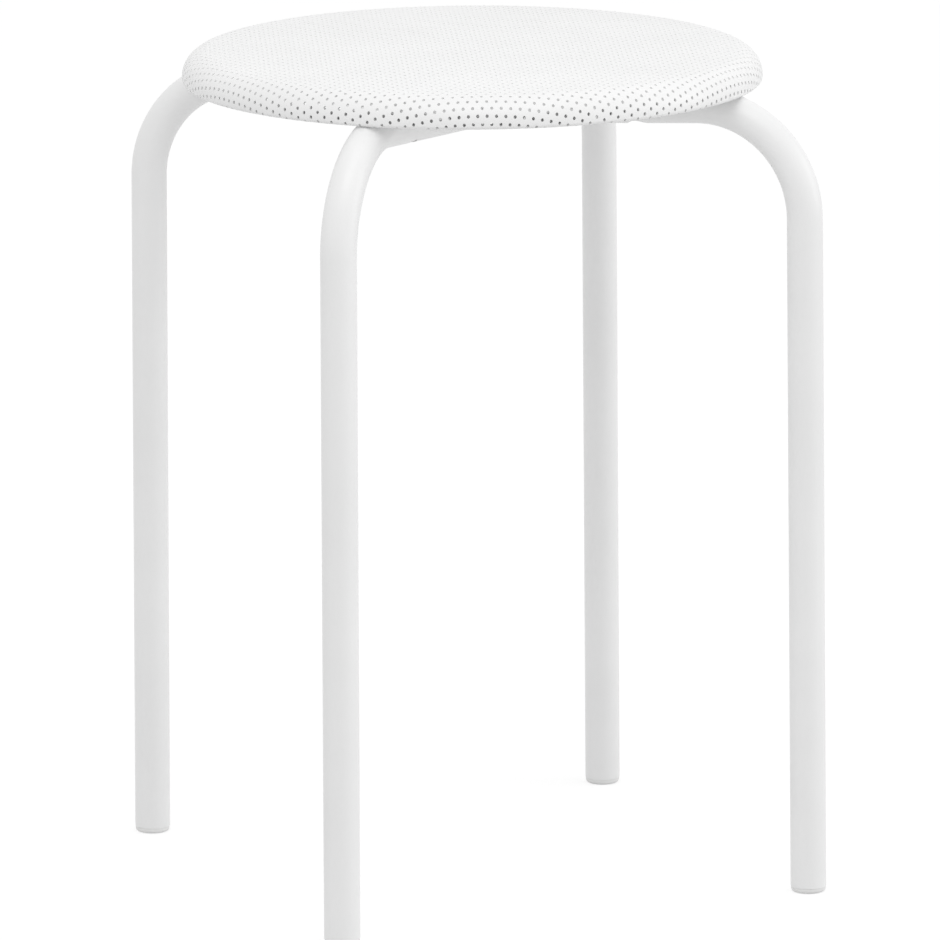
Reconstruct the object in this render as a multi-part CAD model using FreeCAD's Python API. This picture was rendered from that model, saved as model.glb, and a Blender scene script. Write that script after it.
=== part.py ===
"""Stacking stool: two crossing tube hoops carry a round pressed seat pan of sheet steel.

Millimetres. The origin is on the floor under the middle of the seat, +Z is up.
One hoop stands in the XZ plane over the left and right feet, the other in the YZ plane
over the front and rear feet. They cross in a pressed half lap under the seat.
"""
import FreeCAD, Part
import math
import os

V = FreeCAD.Vector
UP = V(0, 0, 1)

# Overall sizes
SEAT_HEIGHT = 450.0
SEAT_DIAMETER = 311.0
LEG_OUTSET = 36.5

# Seat pan, pressed from sheet
SHEET = 1.2
CROWN_RISE = 2.6
SHOULDER_RADIUS = 13.6
SIDE_WALL = 1.0
HEM_RADIUS = 2.0
HEM_RETURN = 5.8
HEM_CHORDS = 4
INNER_SHOULDER_CHORDS = 5

# Openings in the seat, a coarse grid in the proportions of the sheet's fine perforation
OPENING_PITCH = 24.0
OPENING_WIDTH = 8.4
OPENING_LAND = 1.5
OPENING_ROWS = 12

# Leg hoops, bent from round tube
TUBE_DIAMETER = 19.2
TUBE_WALL = 1.5
BEND_RADIUS = 58.0
LEG_SPLAY_DEG = 0.4
UPPER_BAR_DIP_DEG = 3.3
LOWER_BAR_DIP_DEG = 4.6
MIDDLE_BEND_RADIUS = 120.0

# Pressed half lap where the bars cross
LAP_RAMP_DEG = 60.0
LAP_EDGE_RADIUS = 3.0

# Foot plugs
LIP_HEIGHT = 3.0
LIP_INSET = 0.3
LIP_BEVEL = 1.2
STEM_LENGTH = 16.0
STEM_LEAD_IN = 3.0
FIN_THICKNESS = 2.6

# Fixings
SEAT_SCREW_CIRCLE_DIAMETER = 190.0
SCREW_DIAMETER = 6.0
SCREW_HEAD_DIAMETER = 10.0
SCREW_HEAD_HEIGHT = 4.0
SOCKET_ACROSS_FLATS = 4.0
SOCKET_DEPTH = 2.4
ACCESS_HOLE_DIAMETER = 12.0
BOSS_DIAMETER = 12.0
BOSS_HEIGHT = 5.5
SPACER_DIAMETER = 16.0
SPACER_SKIRT = 3.0
WASHER_DIAMETER = 12.0
WASHER_THICKNESS = 1.6
NUT_ACROSS_FLATS = 10.0
NUT_HEIGHT = 5.0
THREAD_PROUD = 2.0

# Clearances
RIM_GAP = 0.2
LAP_GAP = 0.5
SADDLE_GAP = 0.2
PLUG_GAP = 0.1
HOLE_GAP = 0.3
THREAD_GAP = 0.05
WELD_GAP = 0.05
HEAD_GAP = 0.1

# Worked out from the sizes above
SEAT_RADIUS = SEAT_DIAMETER / 2
FOOT_RADIUS = SEAT_RADIUS + LEG_OUTSET
TUBE_RADIUS = TUBE_DIAMETER / 2
BORE_RADIUS = TUBE_RADIUS - TUBE_WALL
SCREW_RADIUS = SCREW_DIAMETER / 2
SCREW_HOLE_RADIUS = SCREW_RADIUS + HOLE_GAP
SEAT_SCREW_RADIUS = SEAT_SCREW_CIRCLE_DIAMETER / 2
SHOULDER_CENTRE_Z = SEAT_HEIGHT - CROWN_RISE - SHOULDER_RADIUS
HEM_CENTRE_Z = SHOULDER_CENTRE_Z - SIDE_WALL
HEM_CENTRE_RADIUS = SEAT_RADIUS - HEM_RADIUS
LEAN = math.radians(LEG_SPLAY_DEG)
UPPER_DIP = math.radians(UPPER_BAR_DIP_DEG)
LOWER_DIP = math.radians(LOWER_BAR_DIP_DEG)
SIDES = {"right": 0.0, "rear": 90.0, "left": 180.0, "front": 270.0}
HEXAGON_SIDES = 6
SAME_POINT = 1e-6


def crown_radius():
    """Radius of the seat's crown: a sphere through the middle that runs tangent into the shoulder."""
    across = SEAT_RADIUS - SHOULDER_RADIUS
    below = SEAT_HEIGHT - SHOULDER_CENTRE_Z
    return (across ** 2 + below ** 2 - SHOULDER_RADIUS ** 2) / (2 * (below - SHOULDER_RADIUS))


def arc(centre, radius, start_deg, end_deg):
    """Arc in the XZ plane from one angle to another, angles from +X towards +Z."""
    middle_deg = (start_deg + end_deg) / 2
    points = []
    for angle_deg in (start_deg, middle_deg, end_deg):
        angle = math.radians(angle_deg)
        points.append(centre + V(radius * math.cos(angle), 0, radius * math.sin(angle)))
    return Part.Arc(*points).toShape()


def chords(centre, radius, start_deg, end_deg, count):
    """Straight chords along an arc in the XZ plane, for a curve that is small or out of sight."""
    points = []
    for index in range(count + 1):
        angle = math.radians(start_deg + (end_deg - start_deg) * index / count)
        points.append(centre + V(radius * math.cos(angle), 0, radius * math.sin(angle)))
    return [Part.makeLine(a, b) for a, b in zip(points, points[1:])]


def outline_face(edges):
    """Face inside edges that follow each other, closed with straight lines where their ends differ."""
    chain = []
    count = len(edges)
    for index in range(count):
        edge = edges[index]
        following = edges[(index + 1) % count]
        chain.append(edge)
        end = edge.valueAt(edge.LastParameter)
        start = following.valueAt(following.FirstParameter)
        if end.distanceToPoint(start) > SAME_POINT:
            chain.append(Part.makeLine(end, start))
    return Part.Face(Part.Wire(Part.sortEdges(chain)[0]))


def turned(edges):
    """Solid made by turning an outline in the XZ plane about the Z axis."""
    return outline_face(edges).revolve(V(0, 0, 0), UP, 360)


def rod(radius, bottom, top, x=0.0, y=0.0):
    """Upright cylinder between two heights."""
    return Part.makeCylinder(radius, top - bottom, V(x, y, bottom))


def hexagon(across_flats, bottom, top, x=0.0, y=0.0):
    """Upright six-sided prism between two heights."""
    corner_radius = across_flats / math.sqrt(3)
    corners = []
    for index in range(HEXAGON_SIDES):
        angle = 2 * math.pi * index / HEXAGON_SIDES
        corners.append(V(x + corner_radius * math.cos(angle), y + corner_radius * math.sin(angle), bottom))
    return Part.Face(Part.makePolygon(corners + corners[:1])).extrude(UP * (top - bottom))


def crowned(rim, crown):
    """Solid inside a rim outline that starts at the crown's edge, with the crown's cap on its flat top.

    The cap is a slice of a large sphere whose axis lies level, so that its poles are far from the seat.
    """
    edge = rim[0].valueAt(rim[0].FirstParameter)
    tail = rim[-1].valueAt(rim[-1].LastParameter)
    closing = [Part.makeLine(tail, V(0, 0, tail.z)), Part.makeLine(V(0, 0, edge.z), edge)]
    ball = Part.makeSphere(crown, V(0, 0, SEAT_HEIGHT - crown_radius()), V(-1, 0, 0))
    slab_origin = V(-SEAT_DIAMETER / 2, -SEAT_DIAMETER / 2, edge.z)
    slab = Part.makeBox(SEAT_DIAMETER, SEAT_DIAMETER, SHOULDER_RADIUS, slab_origin)
    return turned(rim + closing).fuse(ball.common(slab)).removeSplitter()


def opening_places():
    """Middles of the seat's openings: staggered rows over the crown, clear of the shoulder and the bosses."""
    row_gap = OPENING_PITCH * math.sqrt(3) / 2
    corner_radius = OPENING_WIDTH / math.sqrt(3)
    reach = SEAT_RADIUS - SHOULDER_RADIUS - OPENING_LAND - corner_radius
    keep_out = BOSS_DIAMETER / 2 + OPENING_LAND + corner_radius
    places = []
    for row in range(OPENING_ROWS):
        y = (row - (OPENING_ROWS - 1) / 2) * row_gap
        for column in range(-OPENING_ROWS, OPENING_ROWS + 1):
            x = (column + row % 2 / 2) * OPENING_PITCH
            from_bosses = min(math.hypot(abs(x) - SEAT_SCREW_RADIUS, y), math.hypot(x, abs(y) - SEAT_SCREW_RADIUS))
            if math.hypot(x, y) < reach and from_bosses > keep_out:
                places.append((x, y))
    return places


def seat_pan():
    """Sheet disc with a crown, a round shoulder, a hem that turns in and back up, and a grid of openings."""
    crown = crown_radius()
    shoulder_centre = V(SEAT_RADIUS - SHOULDER_RADIUS, 0, SHOULDER_CENTRE_Z)
    hem_centre = V(HEM_CENTRE_RADIUS, 0, HEM_CENTRE_Z)
    blend_deg = math.degrees(math.acos(shoulder_centre.x / (crown - SHOULDER_RADIUS)))
    return_top = V(HEM_CENTRE_RADIUS, 0, HEM_CENTRE_Z + HEM_RETURN)
    outer = [arc(shoulder_centre, SHOULDER_RADIUS, blend_deg, 0)]
    outer.append(Part.makeLine(V(SEAT_RADIUS, 0, SHOULDER_CENTRE_Z), V(SEAT_RADIUS, 0, HEM_CENTRE_Z)))
    outer += chords(hem_centre, HEM_RADIUS, 0, -180, HEM_CHORDS)
    outer.append(Part.makeLine(hem_centre - V(HEM_RADIUS, 0, 0), return_top - V(HEM_RADIUS, 0, 0)))
    fold = HEM_RADIUS - SHEET
    inner = chords(shoulder_centre, SHOULDER_RADIUS - SHEET, blend_deg, 0, INNER_SHOULDER_CHORDS)
    inner.append(Part.makeLine(V(SEAT_RADIUS - SHEET, 0, SHOULDER_CENTRE_Z), hem_centre + V(fold, 0, 0)))
    inner += chords(hem_centre, fold, 0, -180, HEM_CHORDS)
    inner.append(Part.makeLine(hem_centre - V(fold, 0, 0), return_top - V(fold, 0, 0)))
    pan = crowned(outer, crown).cut(crowned(inner, crown - SHEET))
    punches = [hexagon(OPENING_WIDTH, SHOULDER_CENTRE_Z, SEAT_HEIGHT + SHEET, x, y) for x, y in opening_places()]
    return pan.cut(punches)


def bend_centre():
    """Middle of the leg bend, where the tube runs inside the leg line and just under the seat's hem."""
    slope = math.tan(LEAN)
    reach = BEND_RADIUS + TUBE_RADIUS + HEM_RADIUS + RIM_GAP
    offset = FOOT_RADIUS - BEND_RADIUS / math.cos(LEAN) - HEM_CENTRE_RADIUS
    a = 1 + slope ** 2
    b = -2 * (HEM_CENTRE_Z + slope * offset)
    c = HEM_CENTRE_Z ** 2 + offset ** 2 - reach ** 2
    z = (-b - math.sqrt(b ** 2 - 4 * a * c)) / (2 * a)
    return V(FOOT_RADIUS - slope * z - BEND_RADIUS / math.cos(LEAN), 0, z)


def bar_height(dip, radius):
    """Height of a bar's centreline at a distance from the stool's middle, along its straight run."""
    centre = bend_centre()
    return centre.z + BEND_RADIUS / math.cos(dip) + math.tan(dip) * (radius - centre.x)


def middle_height(dip):
    """Height of a bar's centreline at the crossing, where a long gentle bend joins its two runs."""
    return bar_height(dip, 0) + MIDDLE_BEND_RADIUS * (1 / math.cos(dip) - 1)


def lap_height():
    """Height of the flat where the two pressed bars meet."""
    return (middle_height(UPPER_DIP) + middle_height(LOWER_DIP)) / 2


def leg_direction():
    """Direction of the right leg, from the floor up."""
    return V(-math.sin(LEAN), 0, math.cos(LEAN))


def mirrored(point):
    """The same point on the hoop's other side."""
    return V(-point.x, point.y, point.z)


def hoop_path(dip, end_shift=0.0):
    """Centreline of a hoop in the XZ plane: leg, bend, bar, gentle middle bend, bar, bend, leg."""
    centre = bend_centre()
    foot = V(FOOT_RADIUS, 0, 0)
    leg_end = foot + leg_direction() * (LIP_HEIGHT - end_shift)
    bend_low = centre + V(BEND_RADIUS * math.cos(LEAN), 0, BEND_RADIUS * math.sin(LEAN))
    bend_mid_angle = (LEAN + math.pi / 2 + dip) / 2
    bend_mid = centre + V(BEND_RADIUS * math.cos(bend_mid_angle), 0, BEND_RADIUS * math.sin(bend_mid_angle))
    bend_high = centre + V(-BEND_RADIUS * math.sin(dip), 0, BEND_RADIUS * math.cos(dip))
    run_end_x = MIDDLE_BEND_RADIUS * math.sin(dip)
    run_end = V(run_end_x, 0, bar_height(dip, run_end_x))
    middle = V(0, 0, middle_height(dip))
    edges = [
        Part.makeLine(mirrored(leg_end), mirrored(bend_low)),
        Part.Arc(mirrored(bend_low), mirrored(bend_mid), mirrored(bend_high)).toShape(),
        Part.makeLine(mirrored(bend_high), mirrored(run_end)),
        Part.Arc(mirrored(run_end), middle, run_end).toShape(),
        Part.makeLine(run_end, bend_high),
        Part.Arc(bend_high, bend_mid, bend_low).toShape(),
        Part.makeLine(bend_low, leg_end),
    ]
    return Part.Wire(edges)


def swept_round(path, radius):
    """Solid round bar along a centreline."""
    start = path.Vertexes[0].Point
    first = path.Edges[0]
    direction = first.tangentAt(first.FirstParameter)
    circle = Part.Wire(Part.makeCircle(radius, start, direction))
    return path.makePipe(Part.Face(circle))


def lap_block(wall, side):
    """Block that presses a bar in at the crossing, above or below the lap, grown by a wall thickness.

    Its flat lies on the lap and is as wide as the other bar, and its ends ramp away from the lap.
    """
    ramp = math.radians(LAP_RAMP_DEG)
    flat_half = TUBE_RADIUS + LAP_GAP + (LAP_EDGE_RADIUS + wall) * math.tan(ramp / 2)
    depth = TUBE_DIAMETER + wall
    foot_half = flat_half + depth / math.tan(ramp)
    flat_z = lap_height() - side * wall
    far_z = flat_z + side * depth
    corners = [V(-flat_half, 0, flat_z), V(flat_half, 0, flat_z), V(foot_half, 0, far_z), V(-foot_half, 0, far_z)]
    face = Part.Face(Part.makePolygon(corners + corners[:1]))
    face.translate(V(0, -TUBE_DIAMETER, 0))
    block = face.extrude(V(0, 2 * TUBE_DIAMETER, 0))
    lap_edges = [edge for edge in block.Edges if all(
        abs(vertex.Z - flat_z) < SAME_POINT and abs(abs(vertex.X) - flat_half) < SAME_POINT
        for vertex in edge.Vertexes)
        and abs(edge.Vertexes[0].Y - edge.Vertexes[1].Y) > TUBE_DIAMETER]
    return block.makeFillet(LAP_EDGE_RADIUS + wall, lap_edges)


def leg_hoop(dip, side):
    """Hollow hoop in the XZ plane, pressed in at the crossing and drilled for the seat screws.

    side is -1 for the upper hoop, which is pressed in from below, and +1 for the lower one.
    """
    outside = swept_round(hoop_path(dip), TUBE_RADIUS).cut(lap_block(0.0, side))
    bore = swept_round(hoop_path(dip, LIP_HEIGHT), BORE_RADIUS).cut(lap_block(TUBE_WALL, side))
    hoop = outside.cut(bore)
    for x in (-SEAT_SCREW_RADIUS, SEAT_SCREW_RADIUS):
        axis_z = bar_height(dip, SEAT_SCREW_RADIUS)
        hoop = hoop.cut(rod(SCREW_HOLE_RADIUS, axis_z, axis_z + TUBE_DIAMETER, x))
        hoop = hoop.cut(rod(ACCESS_HOLE_DIAMETER / 2, axis_z - TUBE_DIAMETER, axis_z, x))
    middle_z = middle_height(dip)
    return hoop.cut(rod(SCREW_HOLE_RADIUS, middle_z - TUBE_DIAMETER, middle_z + TUBE_DIAMETER))


def upper_leg_hoop():
    """Hoop over the left and right feet."""
    return leg_hoop(UPPER_DIP, -1)


def lower_leg_hoop():
    """Hoop over the front and rear feet, opened from below for the crossing screw's head."""
    hoop = leg_hoop(LOWER_DIP, 1)
    hoop.rotate(V(0, 0, 0), UP, 90)
    middle_z = middle_height(LOWER_DIP)
    return hoop.cut(rod(ACCESS_HOLE_DIAMETER / 2, middle_z - TUBE_DIAMETER, lap_height() - 2 * TUBE_WALL))


def plug_fin(half_width):
    """One upright plate of the plug's stem, across the bore, with its top corners cut back to lead it in."""
    top = LIP_HEIGHT + STEM_LENGTH
    lead_half = half_width - STEM_LEAD_IN / 2
    outline = [(-half_width, LIP_HEIGHT), (half_width, LIP_HEIGHT), (half_width, top - STEM_LEAD_IN),
               (lead_half, top), (-lead_half, top), (-half_width, top - STEM_LEAD_IN)]
    corners = [V(x, -FIN_THICKNESS / 2, z) for x, z in outline]
    return Part.Face(Part.makePolygon(corners + corners[:1])).extrude(V(0, FIN_THICKNESS, 0))


def foot_plug():
    """Push-in plug for the right foot: a lip under the tube's end, and a stem of two crossed fins in its bore."""
    lip_radius = TUBE_RADIUS - LIP_INSET
    fin_half = math.sqrt((BORE_RADIUS - PLUG_GAP) ** 2 - (FIN_THICKNESS / 2) ** 2)
    lip_outline = [V(0, 0, -LIP_BEVEL), V(lip_radius - 2 * LIP_BEVEL, 0, -LIP_BEVEL), V(lip_radius, 0, LIP_BEVEL),
                   V(lip_radius, 0, LIP_HEIGHT), V(0, 0, LIP_HEIGHT)]
    lip = turned([Part.makeLine(a, b) for a, b in zip(lip_outline, lip_outline[1:])])
    cross_fin = plug_fin(fin_half)
    cross_fin.rotate(V(0, 0, 0), UP, 90)
    plug = lip.fuse([plug_fin(fin_half), cross_fin]).removeSplitter()
    plug.rotate(V(0, 0, 0), V(0, 1, 0), -LEG_SPLAY_DEG)
    plug.translate(V(FOOT_RADIUS, 0, 0))
    floor_block = Part.makeBox(TUBE_DIAMETER * 2, TUBE_DIAMETER * 2, TUBE_DIAMETER,
                               V(FOOT_RADIUS - TUBE_DIAMETER, -TUBE_DIAMETER, -TUBE_DIAMETER))
    return plug.cut(floor_block)


def under_sheet_height(radius):
    """Height of the seat sheet's underside at a distance from the middle."""
    under = crown_radius() - SHEET
    return SEAT_HEIGHT - crown_radius() + math.sqrt(under ** 2 - radius ** 2)


def boss_bottom():
    """Height of the bosses' lower faces, all in one plane."""
    return under_sheet_height(SEAT_SCREW_RADIUS) - BOSS_HEIGHT


def seat_boss():
    """Threaded bush under the sheet over the right bar, shaped on top to the crown."""
    reach = under_sheet_height(0)
    bush = rod(BOSS_DIAMETER / 2, boss_bottom(), reach, SEAT_SCREW_RADIUS)
    crown = crown_radius()
    ball = Part.makeSphere(crown - SHEET - WELD_GAP, V(0, 0, SEAT_HEIGHT - crown), UP, 0, 90, 360)
    bush = bush.common(ball)
    return bush.cut(rod(SCREW_RADIUS + THREAD_GAP, boss_bottom(), reach, SEAT_SCREW_RADIUS))


def seat_spacer(dip):
    """Moulded spacer between the right boss and the bar, cradled over the round tube."""
    crest = bar_height(dip, SEAT_SCREW_RADIUS) + TUBE_RADIUS
    spacer = rod(SPACER_DIAMETER / 2, crest - SPACER_SKIRT, boss_bottom(), SEAT_SCREW_RADIUS)
    spacer = spacer.cut(swept_round(hoop_path(dip), TUBE_RADIUS + SADDLE_GAP))
    return spacer.cut(rod(SCREW_HOLE_RADIUS, crest - TUBE_DIAMETER, boss_bottom(), SEAT_SCREW_RADIUS))


def socket_screw(bearing_z, tip_z, x=0.0):
    """Screw that points up: a low round head below its bearing face, with a hexagon socket."""
    head_bottom = bearing_z - SCREW_HEAD_HEIGHT
    head = rod(SCREW_HEAD_DIAMETER / 2, head_bottom, bearing_z, x)
    screw = head.fuse(rod(SCREW_RADIUS, bearing_z, tip_z, x)).removeSplitter()
    return screw.cut(hexagon(SOCKET_ACROSS_FLATS, head_bottom, head_bottom + SOCKET_DEPTH, x))


def head_seat(dip):
    """Height where the sides of a screw head's rim meet the upper side of the round bore."""
    rise = math.sqrt(BORE_RADIUS ** 2 - (SCREW_HEAD_DIAMETER / 2) ** 2)
    return bar_height(dip, SEAT_SCREW_RADIUS) + rise - HEAD_GAP


def seat_screw(dip):
    """Screw from inside the right bar through the spacer and into the boss."""
    tip_z = boss_bottom() + BOSS_HEIGHT - SHEET
    return socket_screw(head_seat(dip), tip_z, SEAT_SCREW_RADIUS)


def crossing_top():
    """Height where the washer's edge meets the upper bar's crest, which rises a little away from the middle."""
    crest_radius = MIDDLE_BEND_RADIUS - TUBE_RADIUS
    washer_rise = crest_radius - math.sqrt(crest_radius ** 2 - (WASHER_DIAMETER / 2) ** 2)
    return middle_height(UPPER_DIP) + TUBE_RADIUS + washer_rise


def crossing_screw():
    """Screw up through both pressed bars, its head inside the lower one."""
    tip_z = crossing_top() + WASHER_THICKNESS + NUT_HEIGHT + THREAD_PROUD
    return socket_screw(lap_height() - TUBE_WALL, tip_z)


def crossing_washer():
    """Plain washer on the upper bar's crest."""
    bottom = crossing_top()
    washer = rod(WASHER_DIAMETER / 2, bottom, bottom + WASHER_THICKNESS)
    return washer.cut(rod(SCREW_HOLE_RADIUS, bottom, bottom + WASHER_THICKNESS))


def crossing_nut():
    """Hexagon nut on the washer."""
    bottom = crossing_top() + WASHER_THICKNESS
    nut = hexagon(NUT_ACROSS_FLATS, bottom, bottom + NUT_HEIGHT)
    return nut.cut(rod(SCREW_RADIUS + THREAD_GAP, bottom, bottom + NUT_HEIGHT))


def export(name, shape):
    """Write one named piece, after a check that it is one sound solid."""
    if not shape.isValid() or len(shape.Solids) != 1:
        raise ValueError("%s is not one sound solid" % name)
    shape.Solids[0].exportStep("parts/%s.step" % name)
    print("%-20s %12.1f mm3" % (name, shape.Volume))


def build():
    """Make every piece and write it to its own file."""
    os.makedirs("parts", exist_ok=True)
    export("seat_pan", seat_pan())
    export("upper_leg_hoop", upper_leg_hoop())
    export("lower_leg_hoop", lower_leg_hoop())
    for side, turn_deg in SIDES.items():
        dip = UPPER_DIP if side in ("left", "right") else LOWER_DIP
        pieces = {
            "foot_plug": foot_plug(),
            "seat_boss": seat_boss(),
            "seat_spacer": seat_spacer(dip),
            "seat_screw": seat_screw(dip),
        }
        for name, shape in pieces.items():
            shape.rotate(V(0, 0, 0), UP, turn_deg)
            export("%s_%s" % (name, side), shape)
    export("crossing_screw", crossing_screw())
    export("crossing_washer", crossing_washer())
    export("crossing_nut", crossing_nut())


build()
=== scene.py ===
"""Looks of the white stacking stool: perforated pressed seat, two bent tube hoops, plastic feet, fixings."""
import bpy
import math
import numpy as np
from mathutils import Matrix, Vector
from mathutils.geometry import delaunay_2d_cdt


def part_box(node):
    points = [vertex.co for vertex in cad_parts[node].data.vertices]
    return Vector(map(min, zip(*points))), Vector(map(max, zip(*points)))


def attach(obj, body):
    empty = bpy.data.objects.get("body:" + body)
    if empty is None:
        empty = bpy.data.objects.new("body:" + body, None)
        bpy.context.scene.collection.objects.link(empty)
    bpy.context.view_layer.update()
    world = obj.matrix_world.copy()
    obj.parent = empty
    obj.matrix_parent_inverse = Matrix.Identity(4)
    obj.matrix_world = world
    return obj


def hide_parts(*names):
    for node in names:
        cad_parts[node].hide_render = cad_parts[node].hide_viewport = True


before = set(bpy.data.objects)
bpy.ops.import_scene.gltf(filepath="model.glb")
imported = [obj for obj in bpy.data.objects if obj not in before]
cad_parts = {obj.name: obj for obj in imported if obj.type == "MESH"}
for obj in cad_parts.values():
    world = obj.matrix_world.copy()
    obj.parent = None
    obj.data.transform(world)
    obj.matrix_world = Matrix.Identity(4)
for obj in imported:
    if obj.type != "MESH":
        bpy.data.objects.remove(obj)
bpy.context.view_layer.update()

# Camera. The stool is seen from a little above through a long lens, turned so that one leg stands in front.
# The picture is square and its lower edge cuts off the front foot.
CAMERA_TURN = math.radians(21.739)
CAMERA_TILT = math.radians(11.990)
CAMERA_ROLL = math.radians(-0.315)
CAMERA_DISTANCE = 5.523
AIM_HEIGHT = 0.19706
AIM_SIDE = 0.00248
AIM_DOWN = 0.01943
SENSOR_WIDTH_MM = 36.0
LENS_MM = 391.37
CLIP_END = 100.0

level_forward = np.array([-math.sin(CAMERA_TURN), math.cos(CAMERA_TURN), 0.0])
forward = level_forward * math.cos(CAMERA_TILT) - np.array([0.0, 0.0, math.sin(CAMERA_TILT)])
level_right = np.array([math.cos(CAMERA_TURN), math.sin(CAMERA_TURN), 0.0])
level_down = np.cross(forward, level_right)
right = level_right * math.cos(CAMERA_ROLL) - level_down * math.sin(CAMERA_ROLL)
down = level_right * math.sin(CAMERA_ROLL) + level_down * math.cos(CAMERA_ROLL)
aim = np.array([0.0, 0.0, AIM_HEIGHT])
eye = aim - AIM_SIDE * right - AIM_DOWN * down - CAMERA_DISTANCE * forward
camera = bpy.data.objects.new("camera", bpy.data.cameras.new("camera"))
camera.data.sensor_width = SENSOR_WIDTH_MM
camera.data.lens = LENS_MM
camera.data.clip_end = CLIP_END
placed = np.eye(4)
placed[:3, 0], placed[:3, 1], placed[:3, 2], placed[:3, 3] = right, -down, -forward, eye
camera.matrix_world = Matrix(placed.tolist())
bpy.context.scene.collection.objects.link(camera)
bpy.context.scene.camera = camera


# Studio. A plain white floor that fades into a white surround, an even soft sky, a soft lamp close above the
# front of the seat, and a wide one on the right that lifts that side of each tube. The floor keeps a faint
# shadow.
WHITE = (1.0, 1.0, 1.0, 1.0)
SKY_LEVEL = 0.82
SURROUND_LEVEL = 1.0
FLOOR_HALF = 7.0
FLOOR_DROP = 0.0001
FLOOR_COLOUR = (0.78, 0.78, 0.78, 1.0)
FLOOR_SHADE = 0.34
FLOOR_GLOW = 0.72
TOP_LAMP_PLACE = (0.22, -0.55, 1.25)
TOP_LAMP_SIZE = 0.7
TOP_LAMP_POWER = 2.3
SIDE_LAMP_PLACE = (3.2, 1.3, 1.2)
SIDE_LAMP_SIZE = 2.0
SIDE_LAMP_POWER = 19.0


def seen_directly(tree):
    """Socket that is 1 for rays from the camera, from a gloss and through glass, and 0 for plain light."""
    path = tree.nodes.new("ShaderNodeLightPath")
    seen = path.outputs["Is Camera Ray"]
    for name in ("Is Glossy Ray", "Is Transmission Ray"):
        either = tree.nodes.new("ShaderNodeMath")
        either.operation = "MAXIMUM"
        tree.links.new(seen, either.inputs[0])
        tree.links.new(path.outputs[name], either.inputs[1])
        seen = either.outputs[0]
    return seen


world = bpy.data.worlds.new("white_surround")
bpy.context.scene.world = world
world.use_nodes = True
sky = world.node_tree.nodes["Background"]
sky.inputs["Color"].default_value = WHITE
sky.inputs["Strength"].default_value = SKY_LEVEL
surround = world.node_tree.nodes.new("ShaderNodeBackground")
surround.inputs["Color"].default_value = WHITE
surround.inputs["Strength"].default_value = SURROUND_LEVEL
world_mix = world.node_tree.nodes.new("ShaderNodeMixShader")
world.node_tree.links.new(seen_directly(world.node_tree), world_mix.inputs[0])
world.node_tree.links.new(sky.outputs[0], world_mix.inputs[1])
world.node_tree.links.new(surround.outputs[0], world_mix.inputs[2])
world.node_tree.links.new(world_mix.outputs[0], world.node_tree.nodes["World Output"].inputs["Surface"])

floor_mesh = bpy.data.meshes.new("studio_floor")
floor_corners = np.array([[-1, -1, 0], [1, -1, 0], [1, 1, 0], [-1, 1, 0]]) * FLOOR_HALF
floor_corners -= [0.0, 0.0, FLOOR_DROP]
floor_mesh.from_pydata(floor_corners.tolist(), [], [(0, 1, 2, 3)])
floor = bpy.data.objects.new("studio_floor", floor_mesh)
bpy.context.scene.collection.objects.link(floor)
floor_paint = bpy.data.materials.new("floor_paint")
floor_paint.use_nodes = True
floor_nodes = floor_paint.node_tree.nodes
floor_nodes.remove(floor_nodes["Principled BSDF"])
floor_plain = floor_nodes.new("ShaderNodeBsdfDiffuse")
floor_plain.inputs["Color"].default_value = FLOOR_COLOUR
floor_shaded = floor_nodes.new("ShaderNodeBsdfDiffuse")
floor_shaded.inputs["Color"].default_value = (FLOOR_SHADE, FLOOR_SHADE, FLOOR_SHADE, 1.0)
floor_glow = floor_nodes.new("ShaderNodeEmission")
floor_glow.inputs["Strength"].default_value = FLOOR_GLOW
floor_sum = floor_nodes.new("ShaderNodeAddShader")
floor_mix = floor_nodes.new("ShaderNodeMixShader")
floor_links = floor_paint.node_tree.links
floor_links.new(floor_shaded.outputs[0], floor_sum.inputs[0])
floor_links.new(floor_glow.outputs[0], floor_sum.inputs[1])
floor_links.new(seen_directly(floor_paint.node_tree), floor_mix.inputs[0])
floor_links.new(floor_plain.outputs[0], floor_mix.inputs[1])
floor_links.new(floor_sum.outputs[0], floor_mix.inputs[2])
floor_links.new(floor_mix.outputs[0], floor_nodes["Material Output"].inputs["Surface"])
floor_mesh.materials.append(floor_paint)


def soft_lamp(name, place, size, power):
    """Square lamp that faces the stool."""
    lamp = bpy.data.objects.new(name, bpy.data.lights.new(name, "AREA"))
    lamp.data.shape = "SQUARE"
    lamp.data.size = size
    lamp.data.energy = power
    back = np.array(place) - aim
    back /= np.linalg.norm(back)
    side = np.cross([0.0, 0.0, 1.0], back)
    side /= np.linalg.norm(side)
    stand = np.eye(4)
    stand[:3, 0], stand[:3, 1], stand[:3, 2], stand[:3, 3] = side, np.cross(back, side), back, place
    lamp.matrix_world = Matrix(stand.tolist())
    bpy.context.scene.collection.objects.link(lamp)


soft_lamp("top_lamp", TOP_LAMP_PLACE, TOP_LAMP_SIZE, TOP_LAMP_POWER)
soft_lamp("side_lamp", SIDE_LAMP_PLACE, SIDE_LAMP_SIZE, SIDE_LAMP_POWER)
bpy.context.scene.view_settings.view_transform = "Standard"


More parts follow.
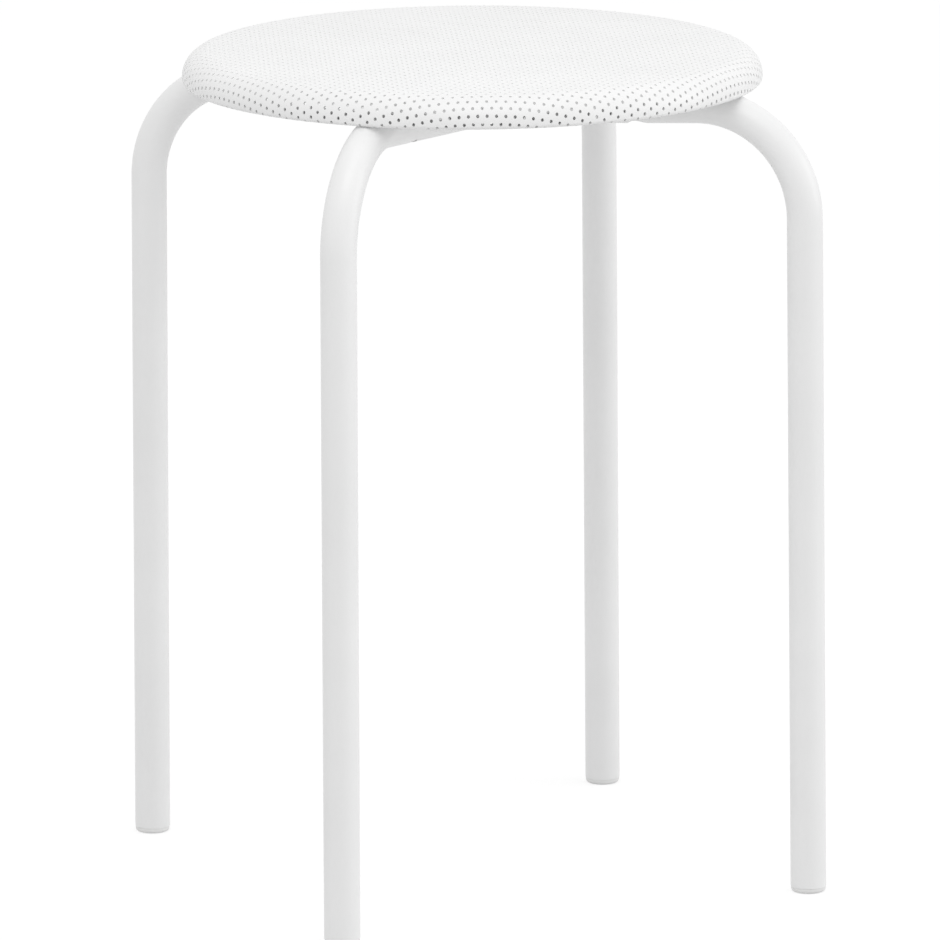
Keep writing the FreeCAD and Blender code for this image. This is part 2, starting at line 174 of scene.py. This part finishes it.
# Seat pan. One disc of perforated sheet steel, pressed to a low crown and a round shoulder, with its edge
# rolled under. The holes were punched in the flat sheet, so their rows bend down over the rim. It has a white
# powder coat.
SHEET = 0.0012
CROWN_RISE = 0.0026
SHOULDER = 0.0136
HEM = 0.0020
RETURN = 0.0058
HOLE_PITCH = 0.00503
HOLE_RADIUS = 0.00076
HOLE_STRETCH_ROUND = 1.14
HOLE_STRETCH_DOWN = 1.30
HOLE_SIDES = 9
ROW_TURN = math.radians(-65.64)
ROW_SHIFT = (0.10, 0.48)
EDGE_MARGIN = 0.0012
GRID_SPARE = 1.3
GRID_EXTRA = 2
RIM_STEPS = 420
HEM_RINGS = 8
RING_CLEARANCE = 1.2
INSIDE_OUTLINE = 1
MERGE_DISTANCE = 1e-9
SEAT_WHITE = (0.89, 0.89, 0.89)
SEAT_GRAIN = 900.0
SEAT_ROUGHNESS = 0.42
NOISE_RANGE = (0.3, 0.7)
TINT_RANGE = (0.35, 0.65)
COAT_SHADE = 0.975
COAT_PATCHES = 18.0
COAT_GLOSS_PATCHES = 160.0
COAT_GLOSS_SPREAD = 0.05
COAT_PEEL_DETAIL = 3.0
COAT_PEEL_DEPTH = 0.00004

seat_low, seat_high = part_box("seat_pan")
SEAT_RADIUS = seat_high.x
SEAT_TOP = seat_high.z
SHOULDER_Z = SEAT_TOP - CROWN_RISE - SHOULDER
SIDE_WALL = SHOULDER_Z - HEM - seat_low.z
crown_across = SEAT_RADIUS - SHOULDER
CROWN = (crown_across ** 2 + (CROWN_RISE + SHOULDER) ** 2 - SHOULDER ** 2) / (2 * CROWN_RISE)
BLEND = math.acos(crown_across / (CROWN - SHOULDER))
rim_lengths = [CROWN * (math.pi / 2 - BLEND), SHOULDER * BLEND, SIDE_WALL, HEM * math.pi, RETURN]
rim_marks = np.cumsum([0.0] + rim_lengths)


def pressed(flat_x, flat_y, depth):
    """Places and normals of points of the flat sheet once it is pressed.

    A point's distance from the middle is laid off along the seat's section: crown arc, shoulder arc, side
    wall, hem arc, return. Its direction from the middle stays. depth moves it into the sheet, against the
    normal.
    """
    reach = np.hypot(flat_x, flat_y)
    turn = np.arctan2(flat_y, flat_x)
    crown_angle = math.pi / 2 - reach / CROWN
    shoulder_angle = BLEND - (reach - rim_marks[1]) / SHOULDER
    hem_angle = -(reach - rim_marks[3]) / HEM
    part = [reach <= rim_marks[1], reach <= rim_marks[2], reach <= rim_marks[3], reach <= rim_marks[4]]
    angle = np.select(part, [crown_angle, shoulder_angle, 0.0 * reach, hem_angle], -math.pi)
    centre_r = np.select(part[:2], [0.0, crown_across], SEAT_RADIUS - HEM)
    centre_z = np.select(part, [SEAT_TOP - CROWN, SHOULDER_Z, SHOULDER_Z - (reach - rim_marks[2]),
                                SHOULDER_Z - SIDE_WALL], SHOULDER_Z - SIDE_WALL + reach - rim_marks[4])
    radius = np.select(part[:2], [CROWN, SHOULDER], HEM)
    out_r = centre_r + (radius - depth) * np.cos(angle)
    out_z = centre_z + (radius - depth) * np.sin(angle)
    places = np.stack([out_r * np.cos(turn), out_r * np.sin(turn), out_z], 1)
    normals = np.stack([np.cos(angle) * np.cos(turn), np.cos(angle) * np.sin(turn), np.sin(angle)], 1)
    return places, normals


def punched_holes():
    """Middles of the holes in the flat sheet.

    The holes of a row are a pitch apart. The rows are the height of an even-sided triangle apart, and each is
    shifted by half a pitch from the last.
    """
    reach = rim_marks[-1]
    count = int(reach / HOLE_PITCH * GRID_SPARE) + GRID_EXTRA
    step, row = np.mgrid[-count:count + 1, -count:count + 1]
    along = (step + 0.5 * (row % 2) + ROW_SHIFT[0]) * HOLE_PITCH
    across = (row + ROW_SHIFT[1]) * HOLE_PITCH * math.sqrt(3) / 2
    x = across * math.cos(ROW_TURN) - along * math.sin(ROW_TURN)
    y = across * math.sin(ROW_TURN) + along * math.cos(ROW_TURN)
    kept = np.hypot(x, y) < reach - HOLE_RADIUS * HOLE_STRETCH_DOWN - EDGE_MARGIN
    return x[kept], y[kept]


def new_piece(name, places, faces, material):
    """Smooth object at the origin made of places and faces."""
    mesh = bpy.data.meshes.new(name)
    mesh.from_pydata(places.tolist(), [], faces)
    mesh.polygons.foreach_set("use_smooth", np.full(len(mesh.polygons), True))
    mesh.materials.append(material)
    piece = bpy.data.objects.new(name, mesh)
    bpy.context.scene.collection.objects.link(piece)
    return piece


def new_finish(name):
    """Material with a Principled shader, and its object coordinates."""
    material = bpy.data.materials.new(name)
    material.use_nodes = True
    tree = material.node_tree
    place = tree.nodes.new("ShaderNodeTexCoord").outputs["Object"]
    return material, tree, tree.nodes["Principled BSDF"], place


def mottle(tree, place, scale, detail=2.0):
    """Socket with a soft random value from 0 to 1, with blotches one over scale metres wide."""
    noise = tree.nodes.new("ShaderNodeTexNoise")
    noise.inputs["Scale"].default_value = scale
    noise.inputs["Detail"].default_value = detail
    tree.links.new(place, noise.inputs["Vector"])
    return noise.outputs["Fac"]


def spread(tree, value, low, high):
    """Socket that maps a value's usual range to the range from low to high."""
    mapped = tree.nodes.new("ShaderNodeMapRange")
    mapped.inputs["From Min"].default_value = NOISE_RANGE[0]
    mapped.inputs["From Max"].default_value = NOISE_RANGE[1]
    mapped.inputs["To Min"].default_value = low
    mapped.inputs["To Max"].default_value = high
    tree.links.new(value, mapped.inputs["Value"])
    return mapped.outputs["Result"]


def tint(tree, value, dark, light):
    """Socket that blends two colours by a value."""
    ramp = tree.nodes.new("ShaderNodeValToRGB")
    ramp.color_ramp.elements[0].position = TINT_RANGE[0]
    ramp.color_ramp.elements[0].color = (*dark, 1.0)
    ramp.color_ramp.elements[1].position = TINT_RANGE[1]
    ramp.color_ramp.elements[1].color = (*light, 1.0)
    tree.links.new(value, ramp.inputs["Fac"])
    return ramp.outputs["Color"]


def raised(tree, shader, value, depth):
    """Bumps of a depth in metres on a shader."""
    bump = tree.nodes.new("ShaderNodeBump")
    bump.inputs["Strength"].default_value = 1.0
    bump.inputs["Distance"].default_value = depth
    tree.links.new(value, bump.inputs["Height"])
    tree.links.new(bump.outputs["Normal"], shader.inputs["Normal"])


def powder_coat(name, white, grain, roughness):
    """Baked white powder coat: a faint orange peel, a slightly uneven gloss and almost one tone."""
    material, tree, shader, place = new_finish(name)
    darker = tuple(COAT_SHADE * channel for channel in white)
    tone = tint(tree, mottle(tree, place, COAT_PATCHES), darker, white)
    tree.links.new(tone, shader.inputs["Base Color"])
    patches = mottle(tree, place, COAT_GLOSS_PATCHES)
    gloss = spread(tree, patches, roughness - COAT_GLOSS_SPREAD, roughness + COAT_GLOSS_SPREAD)
    tree.links.new(gloss, shader.inputs["Roughness"])
    raised(tree, shader, mottle(tree, place, grain, COAT_PEEL_DETAIL), COAT_PEEL_DEPTH)
    return material


hole_x, hole_y = punched_holes()
hole_count = len(hole_x)
corner = np.arange(HOLE_SIDES) * 2 * math.pi / HOLE_SIDES
hole_reach = np.hypot(hole_x, hole_y)[:, None]
outward_x, outward_y = hole_x[:, None] / hole_reach, hole_y[:, None] / hole_reach
drawn = np.clip((hole_reach - rim_marks[1]) / SHOULDER, 0.0, 1.0)
down_out = HOLE_RADIUS * (1 + (HOLE_STRETCH_DOWN - 1) * drawn) * np.cos(corner)
round_out = HOLE_RADIUS * (1 + (HOLE_STRETCH_ROUND - 1) * drawn) * np.sin(corner)
ring_x = (hole_x[:, None] + down_out * outward_x - round_out * outward_y).ravel()
ring_y = (hole_y[:, None] + down_out * outward_y + round_out * outward_x).ravel()
rim_turn = np.arange(RIM_STEPS) * 2 * math.pi / RIM_STEPS
hem_reach = np.linspace(rim_marks[2], rim_marks[4], HEM_RINGS)
extra_reach = np.concatenate([hem_reach, [rim_marks[4] + RETURN / 2]])
extra_turn, extra_reach = np.meshgrid(rim_turn, extra_reach)
extra_x = (extra_reach * np.cos(extra_turn)).ravel()
extra_y = (extra_reach * np.sin(extra_turn)).ravel()
too_near = RING_CLEARANCE * HOLE_RADIUS * HOLE_STRETCH_DOWN
near = np.zeros(len(extra_x), bool)
outer_hole = np.hypot(hole_x, hole_y) > rim_marks[2] - HOLE_PITCH
for first in range(0, len(extra_x), RIM_STEPS):
    apart_x = extra_x[first:first + RIM_STEPS, None] - hole_x[outer_hole]
    apart_y = extra_y[first:first + RIM_STEPS, None] - hole_y[outer_hole]
    near[first:first + RIM_STEPS] = (np.hypot(apart_x, apart_y) < too_near).any(1)
flat_x = np.concatenate([ring_x, extra_x[~near], rim_marks[-1] * np.cos(rim_turn)])
flat_y = np.concatenate([ring_y, extra_y[~near], rim_marks[-1] * np.sin(rim_turn)])
ring = np.arange(hole_count * HOLE_SIDES).reshape(hole_count, HOLE_SIDES)
rim = np.arange(len(flat_x) - RIM_STEPS, len(flat_x))
ring_edges = np.stack([ring, np.roll(ring, -1, 1)], 2).reshape(-1, 2)
rim_edges = np.stack([rim, np.roll(rim, -1)], 1)
flat_places = np.stack([flat_x, flat_y], 1).tolist()
kept_edges = np.vstack([ring_edges, rim_edges]).tolist()
laid_out = delaunay_2d_cdt(flat_places, kept_edges, [], INSIDE_OUTLINE, MERGE_DISTANCE)
skin = np.array(laid_out[2])
owner = np.where(skin < ring.size, skin // HOLE_SIDES, -1 - skin)
skin = skin[~((owner[:, 0] == owner[:, 1]) & (owner[:, 1] == owner[:, 2]))]

outer_places, outer_normals = pressed(flat_x, flat_y, 0.0)
inner_places, _ = pressed(flat_x, flat_y, SHEET)
count = len(flat_x)
ring_next, rim_next = np.roll(ring, -1, 1), np.roll(rim, -1)
walls = np.stack([ring, ring_next, ring_next + count, ring + count], 2).reshape(-1, 4)
end_face = np.stack([rim, rim + count, rim_next + count, rim_next], 1)
seat_faces = skin.tolist() + (skin[:, ::-1] + count).tolist() + walls.tolist() + end_face.tolist()
seat_coat = powder_coat("seat_powder_coat", SEAT_WHITE, SEAT_GRAIN, SEAT_ROUGHNESS)
seat = new_piece("perforated_seat", np.vstack([outer_places, inner_places]), seat_faces, seat_coat)

hole_places, _ = pressed(hole_x, hole_y, 0.0)
wall_normals = hole_places[:, None, :] - outer_places[ring]
wall_normals /= np.linalg.norm(wall_normals, axis=2, keepdims=True)
next_normals = np.roll(wall_normals, -1, 1)
wall_loops = np.stack([wall_normals, next_normals, next_normals, wall_normals], 2)
end_normals = np.repeat([[0.0, 0.0, 1.0]], end_face.size, axis=0)
outer_loops = outer_normals[skin].reshape(-1, 3)
inner_loops = -outer_normals[skin[:, ::-1]].reshape(-1, 3)
loop_normals = np.concatenate([outer_loops, inner_loops, wall_loops.reshape(-1, 3), end_normals])
seat.data.normals_split_custom_set(loop_normals.tolist())
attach(seat, "root")
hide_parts("seat_pan")


# Leg hoops. Each is one length of round steel tube with two bends, pressed half through at the crossing and
# drilled for the screws. The bars are screwed to the seat and to each other. A white powder coat covers the
# whole tube.
TUBE_RADIUS = 0.0096
TUBE_WALL = 0.0015
BEND_RADIUS = 0.058
LEG_OUTSET = 0.0365
LEAN = math.radians(0.4)
UPPER_DIP = math.radians(3.3)
LOWER_DIP = math.radians(4.6)
MIDDLE_BEND = 0.120
RIM_GAP = 0.0002
LIP_HEIGHT = 0.0030
LAP_RAMP = math.radians(60.0)
LAP_HALF = 0.0118
LAP_SOFT = 0.0005
LAP_SHARE = 0.2
LAP_REACH = 3
AROUND = 64
GENTLE_RINGS = 12
LAP_RINGS = 50
BAR_RINGS = 30
BEND_RINGS = 40
LEG_RINGS = 14
SCREW_PLACE = 0.095
ACCESS_HOLE = 0.006
SCREW_HOLE = 0.0033
HOLE_BELOW_LAP = 1.5
HOLE_STEPS = 48
HOOP_SHARP = math.radians(35)
TUBE_WHITE = (0.885, 0.885, 0.885)
TUBE_GRAIN = 700.0
TUBE_ROUGHNESS = 0.38

FOOT_RADIUS = SEAT_RADIUS + LEG_OUTSET
hem_z = SHOULDER_Z - SIDE_WALL
contact = BEND_RADIUS + TUBE_RADIUS + HEM + RIM_GAP
slope = math.tan(LEAN)
offset = FOOT_RADIUS - BEND_RADIUS / math.cos(LEAN) - (SEAT_RADIUS - HEM)
quad_a = 1 + slope ** 2
quad_b = -2 * (hem_z + slope * offset)
quad_c = hem_z ** 2 + offset ** 2 - contact ** 2
bend_z = (-quad_b - math.sqrt(quad_b ** 2 - 4 * quad_a * quad_c)) / (2 * quad_a)
bend_x = FOOT_RADIUS - slope * bend_z - BEND_RADIUS / math.cos(LEAN)


def middle_height(dip):
    """Height of a bar's centreline at the crossing."""
    level = bend_z + BEND_RADIUS / math.cos(dip) - math.tan(dip) * bend_x
    return level + MIDDLE_BEND * (1 / math.cos(dip) - 1)


LAP_Z = (middle_height(UPPER_DIP) + middle_height(LOWER_DIP)) / 2


def half_centreline(dip):
    """Centreline from the middle of a bar to its foot: gentle arc, straight bar, bend, straight leg.

    Returns the distance out from the middle, the height, and the direction in which the tube runs there.
    """
    gentle = np.linspace(0.0, dip, GENTLE_RINGS)
    gentle_x = MIDDLE_BEND * np.sin(gentle)
    gentle_z = middle_height(dip) + MIDDLE_BEND * (1 - np.cos(gentle))
    bend = np.linspace(math.pi / 2 + dip, LEAN, BEND_RINGS)
    arc_x = bend_x + BEND_RADIUS * np.cos(bend)
    arc_z = bend_z + BEND_RADIUS * np.sin(bend)
    fine_share = np.linspace(0.0, LAP_SHARE, LAP_RINGS)[1:]
    share = np.concatenate([fine_share, np.linspace(LAP_SHARE, 1.0, BAR_RINGS)[1:-1]])
    bar_x = gentle_x[-1] + (arc_x[0] - gentle_x[-1]) * share
    bar_z = gentle_z[-1] + (arc_z[0] - gentle_z[-1]) * share
    foot_x = FOOT_RADIUS - math.sin(LEAN) * LIP_HEIGHT
    foot_z = math.cos(LEAN) * LIP_HEIGHT
    share = np.linspace(0.0, 1.0, LEG_RINGS)[1:]
    leg_x = arc_x[-1] + (foot_x - arc_x[-1]) * share
    leg_z = arc_z[-1] + (foot_z - arc_z[-1]) * share
    bar_heading = np.full(len(bar_x), dip)
    leg_heading = np.full(len(leg_x), LEAN - math.pi / 2)
    heading = np.concatenate([gentle, bar_heading, bend - math.pi / 2, leg_heading])
    out = np.concatenate([gentle_x, bar_x, arc_x, leg_x])
    height = np.concatenate([gentle_z, bar_z, arc_z, leg_z])
    return out, height, heading


def tube_skin(dip, radius, side, wall):
    """Round skin around a hoop's centreline, pressed in at the crossing.

    Each ring is a circle square to the centreline. Where the skin would pass the lap, its height is the
    softened lower (or upper) of its own height and of the press: flat over the other bar, then a ramp on each
    side.
    """
    out, height, heading = half_centreline(dip)
    out = np.concatenate([-out[:0:-1], out])
    height = np.concatenate([height[:0:-1], height])
    heading = np.concatenate([-heading[:0:-1], heading])
    around = np.arange(AROUND) * 2 * math.pi / AROUND
    along = out[:, None] - radius * np.cos(around) * np.sin(heading)[:, None]
    up = height[:, None] + radius * np.cos(around) * np.cos(heading)[:, None]
    across = np.broadcast_to(radius * np.sin(around), up.shape)
    ramp = LAP_SOFT * np.logaddexp(0.0, (np.abs(along) - LAP_HALF) * math.tan(LAP_RAMP) / LAP_SOFT)
    press = side * (LAP_Z - side * wall) + ramp
    pressed_up = -LAP_SOFT * np.logaddexp(-side * up / LAP_SOFT, -press / LAP_SOFT)
    up = np.where(np.abs(along) < LAP_REACH * LAP_HALF, side * pressed_up, up)
    return np.stack([along, across, up], 2)


def grid_faces(rows, columns, first, flip):
    """Quads of a grid that closes around its columns."""
    row, column = np.mgrid[0:rows - 1, 0:columns]
    beside = (column + 1) % columns
    quads = np.stack([row * columns + column, row * columns + beside, (row + 1) * columns + beside,
                      (row + 1) * columns + column], 2).reshape(-1, 4) + first
    return quads[:, ::-1] if flip else quads


def rod_cutter(radius, x, y, low, high):
    """Closed upright cylinder that a drill would clear."""
    turn = np.arange(HOLE_STEPS) * 2 * math.pi / HOLE_STEPS
    circle = np.stack([x + radius * np.cos(turn), y + radius * np.sin(turn), np.full(HOLE_STEPS, low)], 1)
    places = np.vstack([circle, circle + [0.0, 0.0, high - low]])
    faces = grid_faces(2, HOLE_STEPS, 0, False).tolist()
    faces += [list(range(HOLE_STEPS))[::-1], list(range(HOLE_STEPS, 2 * HOLE_STEPS))]
    return places, faces


def drilled(piece, holes):
    """Cut upright holes through a piece, all at once, and keep the edges between its surfaces crisp."""
    places, faces = [], []
    for hole in holes:
        hole_places, hole_faces = rod_cutter(*hole)
        first = sum(len(earlier) for earlier in places)
        faces += [[index + first for index in face] for face in hole_faces]
        places.append(hole_places)
    drill = new_piece("drill", np.vstack(places), faces, piece.data.materials[0])
    cut = piece.modifiers.new("drill", "BOOLEAN")
    cut.object = drill
    cut.operation = "DIFFERENCE"
    cut.solver = "EXACT"
    bpy.context.view_layer.update()
    graph = bpy.context.evaluated_depsgraph_get()
    done = bpy.data.meshes.new_from_object(piece.evaluated_get(graph), depsgraph=graph)
    piece.modifiers.clear()
    piece.data = done
    bpy.data.objects.remove(drill)
    done.set_sharp_from_angle(angle=HOOP_SHARP)


def turned_hoop(name, dip, side, quarter, holes, material):
    """Hoop in the XZ plane or, a quarter turn round, in the YZ plane: outer skin, bore and end rings."""
    outer = tube_skin(dip, TUBE_RADIUS, side, 0.0)
    bore = tube_skin(dip, TUBE_RADIUS - TUBE_WALL, side, TUBE_WALL)
    rows = len(outer)
    places = np.vstack([outer.reshape(-1, 3), bore.reshape(-1, 3)])
    shift = rows * AROUND
    faces = np.vstack([grid_faces(rows, AROUND, 0, True), grid_faces(rows, AROUND, shift, False)])
    ring = np.arange(AROUND)
    beside = np.roll(ring, -1)
    start = np.stack([ring, beside, beside + shift, ring + shift], 1)
    last = (rows - 1) * AROUND
    end = np.stack([ring, ring + shift, beside + shift, beside], 1) + last
    faces = np.vstack([faces, start, end])
    if quarter:
        places = np.stack([-places[:, 1], places[:, 0], places[:, 2]], 1)
    hoop = new_piece(name, places, faces.tolist(), material)
    drilled(hoop, holes)
    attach(hoop, "root")
    return hoop


def bar_height(dip, x):
    """Height of a bar's centreline on its straight run."""
    return bend_z + BEND_RADIUS / math.cos(dip) + math.tan(dip) * (x - bend_x)


tube_coat = powder_coat("tube_powder_coat", TUBE_WHITE, TUBE_GRAIN, TUBE_ROUGHNESS)
upper_z = bar_height(UPPER_DIP, SCREW_PLACE)
lower_z = bar_height(LOWER_DIP, SCREW_PLACE)
deep = 2 * TUBE_RADIUS
upper_holes = [(SCREW_HOLE, 0.0, 0.0, LAP_Z - deep, LAP_Z + deep)]
lower_holes = [(SCREW_HOLE, 0.0, 0.0, LAP_Z - HOLE_BELOW_LAP * TUBE_WALL, LAP_Z + deep),
               (ACCESS_HOLE, 0.0, 0.0, LAP_Z - 2 * deep, LAP_Z - 2 * TUBE_WALL)]
for side in (-1, 1):
    upper_holes += [(SCREW_HOLE, side * SCREW_PLACE, 0.0, upper_z, upper_z + deep),
                    (ACCESS_HOLE, side * SCREW_PLACE, 0.0, upper_z - deep, upper_z)]
    lower_holes += [(SCREW_HOLE, 0.0, side * SCREW_PLACE, lower_z, lower_z + deep),
                    (ACCESS_HOLE, 0.0, side * SCREW_PLACE, lower_z - deep, lower_z)]
upper_hoop = turned_hoop("upper_hoop_tube", UPPER_DIP, -1, False, upper_holes, tube_coat)
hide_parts("upper_leg_hoop")
lower_hoop = turned_hoop("lower_hoop_tube", LOWER_DIP, 1, True, lower_holes, tube_coat)
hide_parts("lower_leg_hoop")


# Foot plugs. Each is one plastic moulding: a lip with a rounded lower edge under the tube's end, and a stem of
# two crossed fins that is pushed into the bore. The lip stands flat on the floor.
LIP_INSET = 0.0003
LIP_RADIUS = TUBE_RADIUS - LIP_INSET
LIP_ROUND = 0.0018
LIP_TOP_ROUND = 0.0003
FIN_THICKNESS = 0.0026
FIN_SINK = 0.0008
STEM_LENGTH = 0.0160
STEM_LEAD_IN = 0.0030
PLUG_GAP = 0.0001
LIP_AROUND = 64
LIP_ROUND_STEPS = 7
PLUG_SHARP = math.radians(40)
PLASTIC_WHITE = (0.86, 0.86, 0.855)
PLASTIC_SHADE = 0.96
PLASTIC_PATCHES = 60.0
PLASTIC_GLOSS_PATCHES = 400.0
PLASTIC_GLOSS_RANGE = (0.5, 0.62)
PLASTIC_GRAIN = 2500.0
PLASTIC_GRAIN_DEPTH = 0.00002


def moulded_plastic(name, colour):
    """Plain moulded plastic: matt, with a fine spark-eroded grain."""
    material, tree, shader, place = new_finish(name)
    darker = tuple(PLASTIC_SHADE * channel for channel in colour)
    tone = tint(tree, mottle(tree, place, PLASTIC_PATCHES), darker, colour)
    tree.links.new(tone, shader.inputs["Base Color"])
    gloss = spread(tree, mottle(tree, place, PLASTIC_GLOSS_PATCHES), *PLASTIC_GLOSS_RANGE)
    tree.links.new(gloss, shader.inputs["Roughness"])
    raised(tree, shader, mottle(tree, place, PLASTIC_GRAIN), PLASTIC_GRAIN_DEPTH)
    return material


def turned_lip():
    """Lip as a turned form: flat underside, quarter round up to the side, small round, flat top."""
    quarter = np.linspace(0.0, math.pi / 2, LIP_ROUND_STEPS)
    low_r = LIP_RADIUS - LIP_ROUND * (1 - np.sin(quarter))
    low_z = LIP_ROUND * (1 - np.cos(quarter))
    high_r = LIP_RADIUS - LIP_TOP_ROUND * (1 - np.cos(quarter))
    high_z = LIP_HEIGHT - LIP_TOP_ROUND * (1 - np.sin(quarter))
    section_r = np.concatenate([low_r, high_r])
    section_z = np.concatenate([low_z, high_z])
    turn = np.arange(LIP_AROUND) * 2 * math.pi / LIP_AROUND
    x, y = section_r[:, None] * np.cos(turn), section_r[:, None] * np.sin(turn)
    side = np.stack([x, y, np.broadcast_to(section_z[:, None], x.shape)], 2).reshape(-1, 3)
    faces = grid_faces(len(section_r), LIP_AROUND, 0, False).tolist()
    faces += [list(range(LIP_AROUND))[::-1], list(range(len(side) - LIP_AROUND, len(side)))]
    return side, faces


def stem_fin(quarter_turned):
    """Upright plate across the bore, its top corners cut back, as an outline moved by its thickness."""
    half = math.sqrt((TUBE_RADIUS - TUBE_WALL - PLUG_GAP) ** 2 - (FIN_THICKNESS / 2) ** 2)
    lead = half - STEM_LEAD_IN / 2
    low, top = LIP_HEIGHT - FIN_SINK, LIP_HEIGHT + STEM_LENGTH
    outline = np.array([[-half, low], [half, low], [half, top - STEM_LEAD_IN], [lead, top], [-lead, top],
                        [-half, top - STEM_LEAD_IN]])
    corners = len(outline)
    near = np.stack([outline[:, 0], np.full(corners, -FIN_THICKNESS / 2), outline[:, 1]], 1)
    places = np.vstack([near, near + [0.0, FIN_THICKNESS, 0.0]])
    faces = grid_faces(2, corners, 0, True).tolist()
    faces += [list(range(corners)), list(range(corners, 2 * corners))[::-1]]
    if quarter_turned:
        places = np.stack([-places[:, 1], places[:, 0], places[:, 2]], 1)
    return places, faces


def moulded_plug(name, turns):
    """Plug for the foot that lies a number of quarter turns from the right one, leaning with its leg."""
    places, faces = turned_lip()
    for quarter_turned in (False, True):
        fin_places, fin_faces = stem_fin(quarter_turned)
        faces += [[index + len(places) for index in face] for face in fin_faces]
        places = np.vstack([places, fin_places])
    x, y, z = places.T
    leaned_x = FOOT_RADIUS + x * math.cos(LEAN) - z * math.sin(LEAN)
    z = np.maximum(x * math.sin(LEAN) + z * math.cos(LEAN), 0.0)
    x = leaned_x
    for _ in range(turns):
        x, y = -y, x
    plug = new_piece(name + "_moulding", np.stack([x, y, z], 1), faces, plug_plastic)
    plug.data.set_sharp_from_angle(angle=PLUG_SHARP)
    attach(plug, "root")
    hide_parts(name)


plug_plastic = moulded_plastic("foot_plastic", PLASTIC_WHITE)
for quarter_turns, side_name in enumerate(("right", "rear", "left", "front")):
    moulded_plug("foot_plug_" + side_name, quarter_turns)


# Fixings under the seat. Turned steel bosses welded to the sheet, moulded plastic spacers between the bosses
# and the bars, and zinc-plated steel screws, washer and nut that hold it all together.
ZINC = (0.62, 0.63, 0.64)
ZINC_SHADE = 0.85
ZINC_PATCHES = 300.0
ZINC_GLOSS_PATCHES = 900.0
ZINC_GLOSS_RANGE = (0.25, 0.4)
ZINC_GRAIN = 3000.0
ZINC_GRAIN_DEPTH = 0.00001
BOSS_GRAIN = 900.0
BOSS_ROUGHNESS = 0.42


def zinc_plate(name):
    """Bright zinc plate on turned steel: metallic, a little uneven in tone and gloss, with a fine grain."""
    material, tree, shader, place = new_finish(name)
    shader.inputs["Metallic"].default_value = 1.0
    darker = tuple(ZINC_SHADE * channel for channel in ZINC)
    tone = tint(tree, mottle(tree, place, ZINC_PATCHES), darker, ZINC)
    tree.links.new(tone, shader.inputs["Base Color"])
    gloss = spread(tree, mottle(tree, place, ZINC_GLOSS_PATCHES), *ZINC_GLOSS_RANGE)
    tree.links.new(gloss, shader.inputs["Roughness"])
    raised(tree, shader, mottle(tree, place, ZINC_GRAIN), ZINC_GRAIN_DEPTH)
    return material


zinc = zinc_plate("zinc_plate")
boss_coat = powder_coat("boss_powder_coat", TUBE_WHITE, BOSS_GRAIN, BOSS_ROUGHNESS)
spacer_plastic = moulded_plastic("spacer_plastic", PLASTIC_WHITE)
for place_name in ("right", "rear", "left", "front"):
    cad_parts["seat_boss_" + place_name].data.materials[0] = boss_coat
    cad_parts["seat_spacer_" + place_name].data.materials[0] = spacer_plastic
    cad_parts["seat_screw_" + place_name].data.materials[0] = zinc
for node in ("crossing_screw", "crossing_washer", "crossing_nut"):
    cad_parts[node].data.materials[0] = zinc
